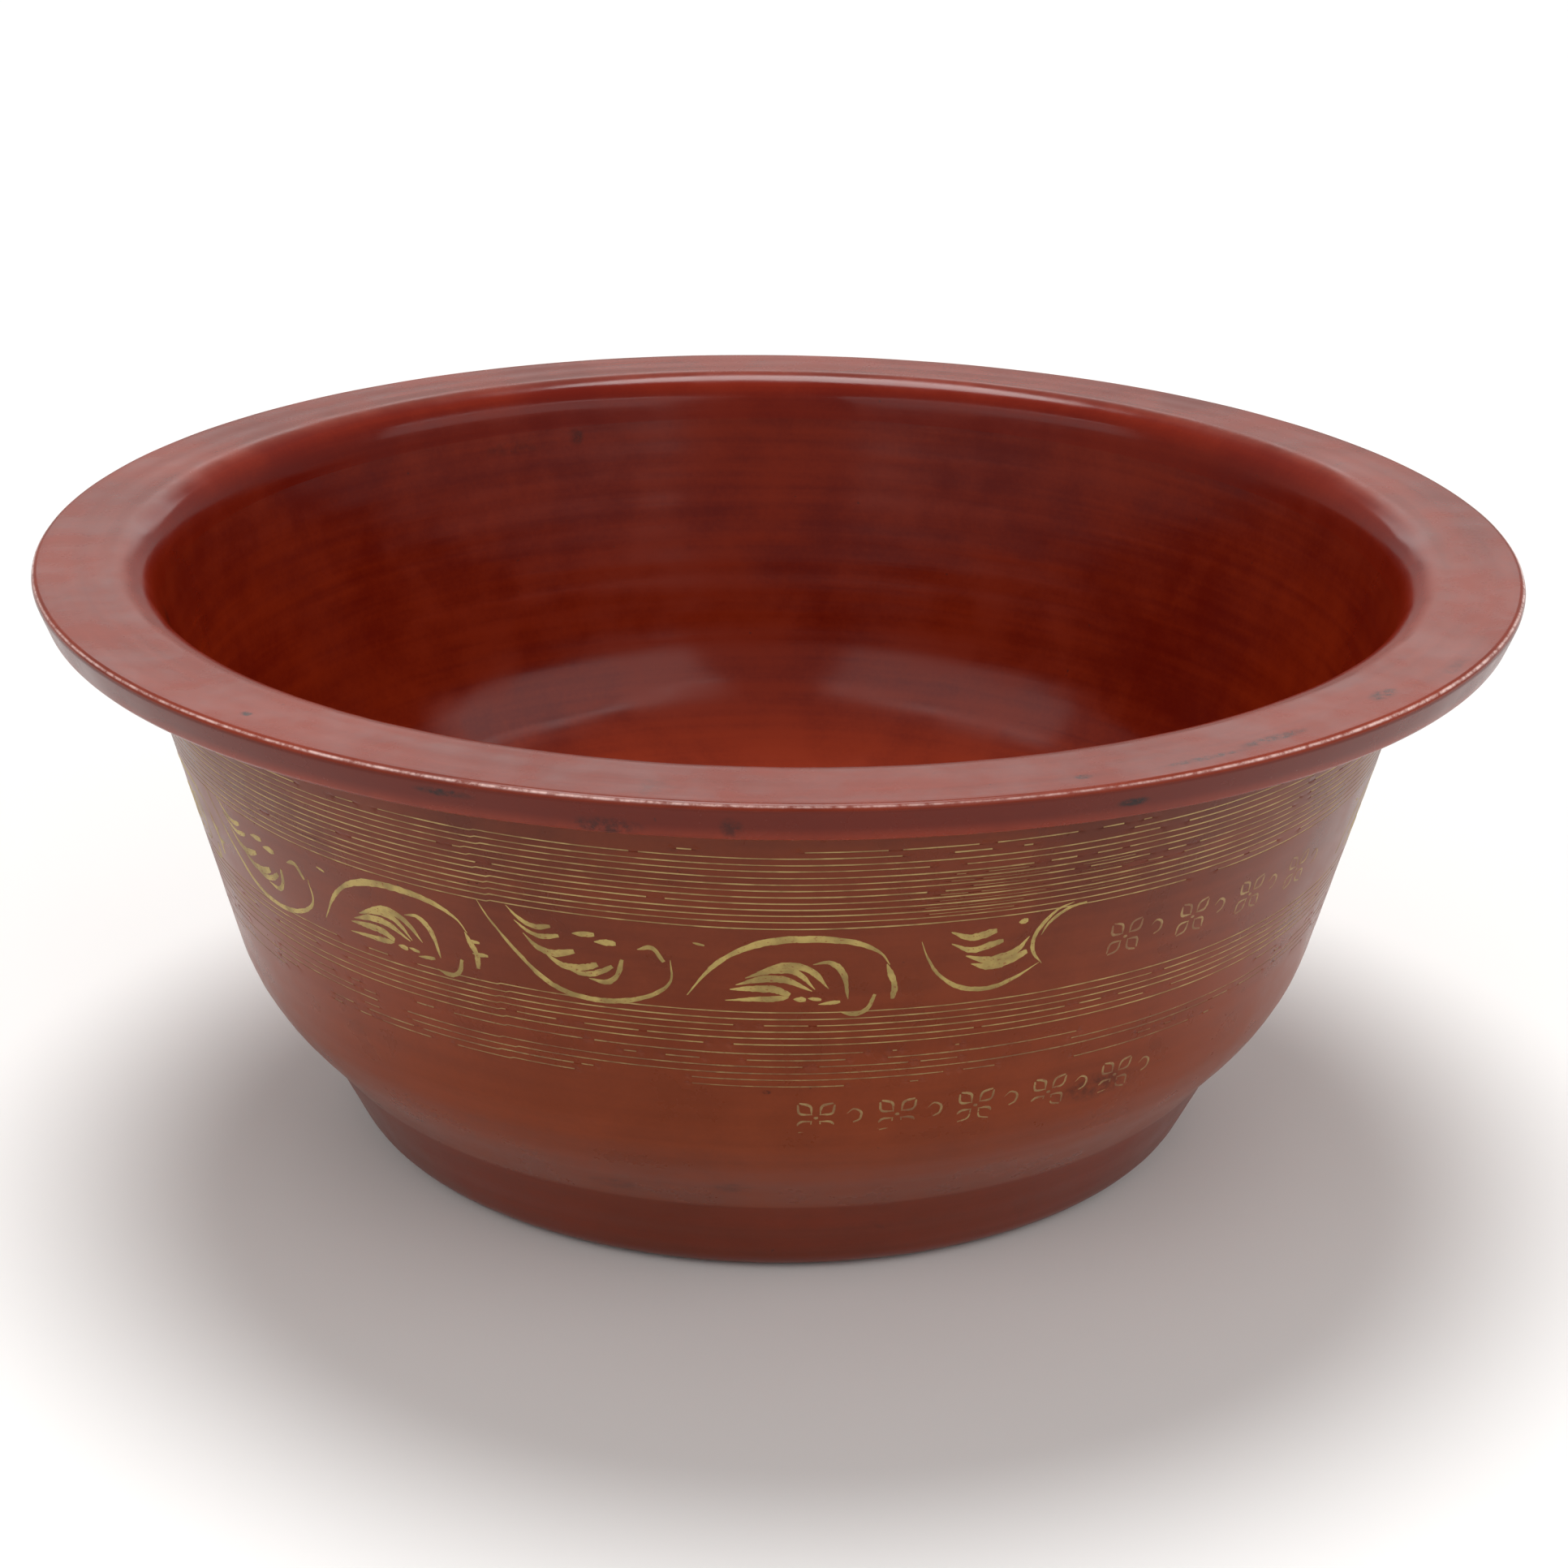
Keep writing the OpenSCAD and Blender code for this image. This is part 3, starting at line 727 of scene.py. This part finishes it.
# Strokes as (points in mm from the middle of the motif, width, share of the way to the widest point)
ARCH = [
    ([(-22, -6.6), (-17.5, -0.2), (-13, 4), (-6, 7.4),
      (3, 8.4), (12, 7.4), (17.5, 4.6), (19.8, 1.4)], 2.0, 0.55),
    ([(19.2, 1.6), (20.2, -1), (21.2, -4), (21, -7.4)], 1.7, 0.4),
    ([(-14, -7.4), (-9, -7), (-4, -6.8), (-0.8, -6.4)], 1.6, 0.8),
    ([(-13, -4.6), (-9, -4.2), (-4, -4.2), (-0.6, -5.8)], 2.2, 0.6),
    ([(-11.8, -3.4), (-6, -1.8), (-1, -2.2), (4, -4.8)], 2.2, 0.45),
    ([(-9.8, -1.6), (-4.6, 0.4), (0.6, 0), (4.6, -4.4)], 1.9, 0.45),
    ([(-7.4, 0), (-1.4, 1.9), (3.8, 0.2), (7.4, -4.2)], 1.9, 0.5),
    ([(4, 2), (7.6, 2.4), (10.4, -0.6), (11.6, -7)], 1.6, 0.45),
    ([(10, -10.2), (13, -11), (15.8, -9.6), (17.2, -6)], 1.3, 0.4),
    ([(0.2, -6.8), (2.8, -7)], 1.5, 0.6),
    ([(3.2, -6.6), (6, -7)], 1.0, 0.5),
    ([(5.4, -8.2), (10, -7.6)], 1.2, 0.7),
    ([(-20.4, 6.8), (-18, 6.2)], 0.7, 0.4),
]
HANGING = [
    ([(-21.4, 11), (-19, 6.4), (-15, 0.8), (-9.6, -5.4), (-4, -9),
      (3, -10.2), (10, -9.4), (16, -7), (19.6, -3.4), (19.8, 2)], 1.6, 0.55),
    ([(-14.6, 10.8), (-12.2, 8.2), (-9, 6.6), (-5.2, 7.2)], 1.5, 0.8),
    ([(-13.2, 7.4), (-10.6, 5.2), (-7.6, 4.2), (-3.6, 5)], 1.6, 0.75),
    ([(-11.6, 4.4), (-8.8, 1.4), (-5, 0.4), (-0.6, 1.6)], 2.0, 0.7),
    ([(-7.2, 0.2), (-3.6, -2.4), (0.8, -2.4), (4.2, -1)], 2.3, 0.6),
    ([(-3.6, -2.6), (0.4, -3.8), (4.4, -3), (7.4, -1)], 1.8, 0.6),
    ([(2, -4.8), (5.8, -5.2), (8.4, -3), (9.6, 1)], 1.5, 0.45),
    ([(-0.6, 6.2), (4.2, 6.6)], 1.7, 0.6),
    ([(4, 4.8), (8.6, 4.8)], 2.0, 0.6),
    ([(13, 4), (16.2, 4.6), (18.4, 1.4)], 1.5, 0.35),
]
LAST_HANGING = [
    ([(-14.4, 6.6), (-12.8, 2.4), (-9.8, -2.4), (-4.4, -6.2), (2, -7), (7.6, -5), (12.4, -2.2)], 1.3, 0.6),
    ([(-8.4, 8.4), (-4, 6.6), (1.4, 7.6)], 2.2, 0.7),
    ([(-8, 5.4), (-3.4, 3.4), (3.2, 4.8)], 2.2, 0.7),
    ([(-4.6, 2), (1, 0.2), (6.4, 1.8), (9, 5)], 2.2, 0.5),
    ([(-3.2, -0.2), (1, -1.4), (5.4, -0.4), (9, 1.2)], 2.4, 0.5),
    ([(6, 9), (8, 9.2)], 1.6, 0.5),
    ([(13, -2.6), (10.4, 1), (10.4, 5.6), (14, 10.4), (18, 12)], 1.2, 0.4),
    ([(11.6, 4.8), (13.2, 8), (17, 10.6), (21, 11.4)], 0.9, 0.4),
]
PAIR_OF_DASHES = [([(-1.6, 1.5), (1.5, 1.4)], 1.0, 0.5), ([(-0.8, -1.7), (3, -1.6)], 1.4, 0.5)]
FLOWER = [
    ([(0.9, 0.7), (1.3, 3.2), (3.6, 4.0)], 0.75, 0.5),
    ([(0.7, 0.9), (3.4, 1.2), (3.9, 3.6)], 0.75, 0.5),
    ([(-0.9, 0.7), (-1.3, 3.2), (-3.6, 4.0)], 0.75, 0.5),
    ([(-0.7, 0.9), (-3.4, 1.2), (-3.9, 3.6)], 0.75, 0.5),
    ([(-0.9, -0.7), (-1.3, -3.2), (-3.6, -4.0)], 0.75, 0.5),
    ([(-0.7, -0.9), (-3.4, -1.2), (-3.9, -3.6)], 0.75, 0.5),
    ([(0.9, -0.7), (1.3, -3.2), (3.6, -4.0)], 0.75, 0.5),
    ([(0.7, -0.9), (3.4, -1.2), (3.9, -3.6)], 0.75, 0.5),
    ([(-0.5, 0), (0.5, 0)], 0.9, 0.5),
    ([(6.6, 1.0), (8.0, 2.2), (9.6, 1.2), (9.4, -0.6), (8.0, -1.4)], 0.7, 0.5),
]
SCROLL_H = 92.4 * MM
SCROLLS = 20
SCROLL_TURN = 18.0
SCROLL_START = 1.6
SCROLLS_LEFT_OUT = (2, 3)
LAST_HANGING_SHIFT = -1.8
DASHES_SHIFT = -0.6
DASHES_DROP = 2 * MM

# Rows of flowers as (flowers, first angle, height)
FLOWER_TURN = 7.5
FLOWER_ROWS = [(5, 4, 54 * MM), (4, 31, SCROLL_H)]

# Strokes shorter than this, in millimetres, end bluntly
SHORT_STROKE = 13


def smooth_path(points, pieces):
    """A Catmull-Rom curve through the points of a stroke."""
    p = [np.array(q, float) for q in points]
    p = [2 * p[0] - p[1]] + p + [2 * p[-1] - p[-2]]
    out = []
    for i in range(1, len(p) - 2):
        for t in np.arange(pieces) / pieces:
            out.append(0.5 * (2 * p[i] + (p[i + 1] - p[i - 1]) * t
                              + (2 * p[i - 1] - 5 * p[i] + 4 * p[i + 1] - p[i + 2]) * t ** 2
                              + (3 * p[i] - p[i - 1] - 3 * p[i + 1] + p[i + 2]) * t ** 3))
    out.append(p[-2])
    return np.array(out)


def stroke(parts, points, width, peak, az, h, generator):
    """Adds one engraved stroke, with ragged edges and the filling a little proud in its middle."""
    vertices, faces, uvs = parts
    path = smooth_path(points, 7)
    steps = np.linalg.norm(np.diff(path, axis=0), axis=1)
    t = np.concatenate([[0], np.cumsum(steps)])
    length, t = t[-1], t / t[-1]
    along = np.gradient(path, axis=0)
    along /= np.linalg.norm(along, axis=1)[:, None]
    across = np.stack([-along[:, 1], along[:, 0]], axis=1)
    blunt = 0.55 if length < SHORT_STROKE else 0.1
    rise = np.sin(math.pi / 2 * np.minimum(t / peak, 1))
    fall = 1 - (1 - blunt) * np.clip((t - peak) / (1 - peak), 0, 1) ** 2.2
    half = width / 2 * (0.12 + 0.88 * rise) * fall
    left = half * (1 + generator.uniform(-0.13, 0.13, len(t)))
    right = half * (1 + generator.uniform(-0.13, 0.13, len(t)))
    rings = []
    for k in range(len(t)):
        ring = []
        for offset, depth in ((left[k], 0.02), (0.5 * left[k], -0.035), (-0.5 * right[k], -0.035),
                              (-right[k], 0.02), (-right[k], 0.2), (left[k], 0.2)):
            u, v = path[k] + across[k] * offset
            ring.append(surface_point(az, h, u * MM, v * MM, depth * MM))
        rings.append(ring)
    strip(vertices, faces, uvs, list(t * length), rings)


def surface_point(az, h, u, v, depth):
    """A point u to the right of and v above a motif's middle, on the lacquer's uneven face."""
    z = h + v
    angle = az + math.degrees(u / wall_r(h))
    s = wall_start + (SPLIT_H - z) / math.cos(math.radians(WALL_LEAN))
    if z > TURN_TOP_H:
        return on_wall(angle, z, depth - float(hand_turned(angle, s)))
    (r, zz), (nr, nz) = base_face(s)
    r, zz = r - nr * depth, zz - nz * depth
    a = math.radians(angle)
    return (r * math.sin(a), -r * math.cos(a), zz)


def base_face(s):
    """Point and outward normal of the section at length s."""
    pair = section.read(np.array([s - 0.2 * MM, s + 0.2 * MM]))
    along = (pair[1] - pair[0]) / np.linalg.norm(pair[1] - pair[0])
    return pair.mean(axis=0), (-along[1], along[0])


def make_motifs(name, placed, seed):
    """All the strokes of a list of (motif, angle, height)."""
    generator = np.random.default_rng(seed)
    parts = ([], [], [])
    for motif, az, h in placed:
        for points, width, peak in motif:
            stroke(parts, points, width, peak, az, h, generator)
    return make_object(name, *parts, sharp=60)


# ---------------------------------------------------------------- the pieces

section = Path(outline())
inner_split = section.where_height(SPLIT_H, 0)
wall_start = section.where_height(SPLIT_H, 1)
waist = section.where_height(WAIST_H, 0)
ground = section.where_height(0.3 * MM, 0)
foot_end = section.where_height(UNDERSIDE_SPLIT_H, 1)


def from_the_middle(s):
    return np.clip(s / (30 * MM), 0, 1)


def to_the_ground(s):
    return np.clip((ground - s) / (7 * MM), 0, 1)


inside = skin("lacquer_inside", 0, inner_split, 2.2 * MM, from_the_middle)
rim = skin("lacquer_rim", inner_split, wall_start, 1.1 * MM)
wall = make_wall(section, wall_start, waist)
foot = skin("lacquer_foot", waist, foot_end, 1.2 * MM, to_the_ground)

RIM_SPOTS = [
    (-39.9, 167.6, 142, 1.8, 1.6, 3, 1.0),
    (49.3, 166.6, 142, 6, 2.6, 4, 0.8),
    (36.5, 168.1, 142, 12, 2.0, 4, 0.75),
    (29.9, 169.5, 142, 13, 1.4, 4, 0.7),
    (20.8, 168.5, 142, 2.5, 1.5, 3, 0.9),
    (58, 171, 141, 8, 2.5, 4, 0.4),
    (23.6, 173.8, 137.4, 4.5, 3, 1.3, 0.95),
    (-21.7, 174.3, 138.6, 8, 3, 1.3, 0.9),
    (-10.8, 173.1, 135.4, 9, 4, 2.8, 0.75),
    (-2.8, 173.5, 136.6, 3, 3, 3.4, 0.6),
]
INSIDE_SPOTS = [
    (-82, 145, 125.7, 2.8, 4, 3.4, 0.9),
    (-112, 146.8, 131.5, 12, 4, 1.1, 0.6),
    (-80, 146.8, 131.5, 14, 4, 1.1, 0.6),
    (-157, 146, 128, 3, 5, 3, 0.6),
    (-150, 145.6, 127, 14, 5, 2.5, 0.3),
]
WALL_SPOTS = [
    (-0.5, 135.5, 61, 1.2, 4, 0.7, 1.0),
    (-17, 119, 27, 8, 6, 3, 0.35),
    (-4, 121, 30, 6, 6, 3, 0.35),
    (32, 134, 52, 14, 6, 5, 0.5),
]
red_inside = red_lacquer(
    "red_inside_finish", *INSIDE_REDS, -0.1, (0.15, 0.22), 0.25, 0.25, INSIDE_SPOTS, INSIDE_SHADE_HEIGHTS)
# The rim's dark side colour is painted shade, and its pale edge colour is a painted highlight along the top
# outer edge.
red_rim = red_lacquer(
    "red_rim_finish", *RIM_REDS, 0.25, (0.20, 0.30), 0.45, 0.21, RIM_SPOTS,
    side=srgb(88, 22, 6), edge_highlight=srgb(248, 214, 206), inner=LIP_REDS)
red_wall = red_lacquer(
    "red_wall_finish", *WALL_REDS, 0.15, (0.26, 0.34), 0.3, 0.2, WALL_SPOTS, WALL_SHADE_HEIGHTS)
red_foot = red_lacquer(
    "red_foot_finish", *FOOT_REDS, 0.3, (0.28, 0.36), 0.3, 0.2)
finish_piece(inside, red_inside.mat, "red_lacquer", "red_inside")
finish_piece(rim, red_rim.mat, "red_lacquer", "red_rim")
finish_piece(wall, red_wall.mat, "red_lacquer", "red_outside")
finish_piece(foot, red_foot.mat, "red_lacquer", "red_foot")

bared = WALL_REDS[1]
fine_gold = gold_filling("gold_line_filling", srgb(176, 148, 92), srgb(140, 106, 62), bared, 0.60)
stroke_gold = gold_filling("gold_stroke_filling", srgb(180, 156, 88), srgb(142, 118, 64), bared, 0.55)
faint_gold = gold_filling("gold_faint_filling", srgb(160, 132, 84), srgb(126, 88, 56), bared, 0.52)

for band, lines in engraved.items():
    piece = make_lines("gold_" + band, lines)
    finish_piece(piece, faint_gold if band == "lower_lines" else fine_gold, "gold_filling", band)

scroll_places = []
for i in range(SCROLLS):
    if i in SCROLLS_LEFT_OUT:
        continue
    last_before_gap = i + 1 in SCROLLS_LEFT_OUT
    motif = LAST_HANGING if last_before_gap else HANGING if i % 2 else ARCH
    az = SCROLL_START + SCROLL_TURN * i + (LAST_HANGING_SHIFT if last_before_gap else 0)
    scroll_places.append((motif, az, SCROLL_H))
    if i % 2 and not last_before_gap:
        scroll_places.append((PAIR_OF_DASHES, az - SCROLL_TURN / 2 + DASHES_SHIFT, SCROLL_H - DASHES_DROP))
scrolls = make_motifs("gold_scrolls", scroll_places, 31)
finish_piece(scrolls, stroke_gold, "gold_filling", "scrolls")

flower_places = []
for count, start, h in FLOWER_ROWS:
    flower_places += [(FLOWER, start + FLOWER_TURN * i, h) for i in range(count)]
flowers = make_motifs("gold_flowers", flower_places, 32)
finish_piece(flowers, faint_gold, "gold_filling", "flowers")

# CAD nodes that stay: the bamboo core, the putty and the black coats
hidden_finishes = {
    "bamboo": bamboo("bamboo_finish"),
    "ash_putty": ash_putty("ash_putty_finish"),
    "black_lacquer": black_lacquer("black_lacquer_finish"),
}
for entry in frame["record"]["subparts"]:
    node = frame["nodes"][entry["node"]]
    if entry["material_slot"] in hidden_finishes:
        paint(node, hidden_finishes[entry["material_slot"]])

# ---------------------------------------------------------------- floor, light and camera

def make_floor():
    half = 30.0
    below = 0.02 * MM
    corners = [(-half, -half, 0), (half, -half, 0), (half, half, 0), (-half, half, 0)]
    floor = make_object("floor", corners, [(0, 1, 2, 3)])
    floor.location.z = -below
    paint(floor, pale_paper("pale_floor"))


def area_light(name, place, target, size, power):
    """A soft box that faces a point."""
    data = bpy.data.lights.new(name, "AREA")
    data.shape = "RECTANGLE"
    data.size, data.size_y = size
    data.energy = power
    obj = bpy.data.objects.new(name, data)
    obj.location = place
    obj.rotation_euler = (Vector(target) - Vector(place)).to_track_quat("-Z", "Y").to_euler()
    bpy.context.scene.collection.objects.link(obj)


def radiant_panel(name, az, elevation, distance, size, radiance):
    """A soft box at an angle round the bowl and an elevation above its middle, of a given brightness."""
    middle_h = 0.1
    a, e = math.radians(az), math.radians(elevation)
    away = distance * math.cos(e)
    place = (away * math.sin(a), -away * math.cos(a), middle_h + distance * math.sin(e))
    area_light(name, place, (0, 0, middle_h), size, radiance * math.pi * size[0] * size[1])


def make_lights():
    world = bpy.data.worlds.new("studio")
    world.use_nodes = True
    background = world.node_tree.nodes["Background"]
    background.inputs["Color"].default_value = (1.0, 0.99, 0.98, 1)
    background.inputs["Strength"].default_value = 0.40
    bpy.context.scene.world = world
    radiant_panel("panel_right", 54, 28, 2.6, (3.2, 0.95), 1.4)
    radiant_panel("panel_left", -46, 28, 2.6, (2.7, 0.95), 1.2)
    radiant_panel("strip_right", 54, 42, 2.6, (3.0, 0.16), 3.6)
    radiant_panel("strip_left", -46, 42, 2.6, (2.5, 0.16), 3.2)
    radiant_panel("panel_behind", 180, 22, 3.2, (2.2, 0.5), 1.5)
    lamp = bpy.data.lights.new("overhead", "SUN")
    lamp.energy = 2.3
    lamp.angle = math.radians(30)
    above = bpy.data.objects.new("overhead", lamp)
    above.rotation_euler = (math.radians(-18), math.radians(-3), 0)
    bpy.context.scene.collection.objects.link(above)


def make_camera():
    distance = 4.5 * RIM_R
    elevation, pitch, roll, yaw = (math.radians(a) for a in (17.11, 21.48, 0.78, 0.15))
    data = bpy.data.cameras.new("camera")
    data.sensor_width = 36
    data.lens = 75.4
    data.clip_end = 100
    camera = bpy.data.objects.new("camera", data)
    camera.location = (0, -distance * math.cos(elevation), HEIGHT + distance * math.sin(elevation))
    turn = Matrix.Rotation(-yaw, 3, "Z") @ Matrix.Rotation(math.pi / 2 - pitch, 3, "X")
    turn = turn @ Matrix.Rotation(roll, 3, "Z")
    camera.rotation_euler = turn.to_euler()
    bpy.context.scene.collection.objects.link(camera)
    bpy.context.scene.camera = camera


make_floor()
make_lights()
make_camera()
bpy.context.scene.view_settings.view_transform = "Standard"
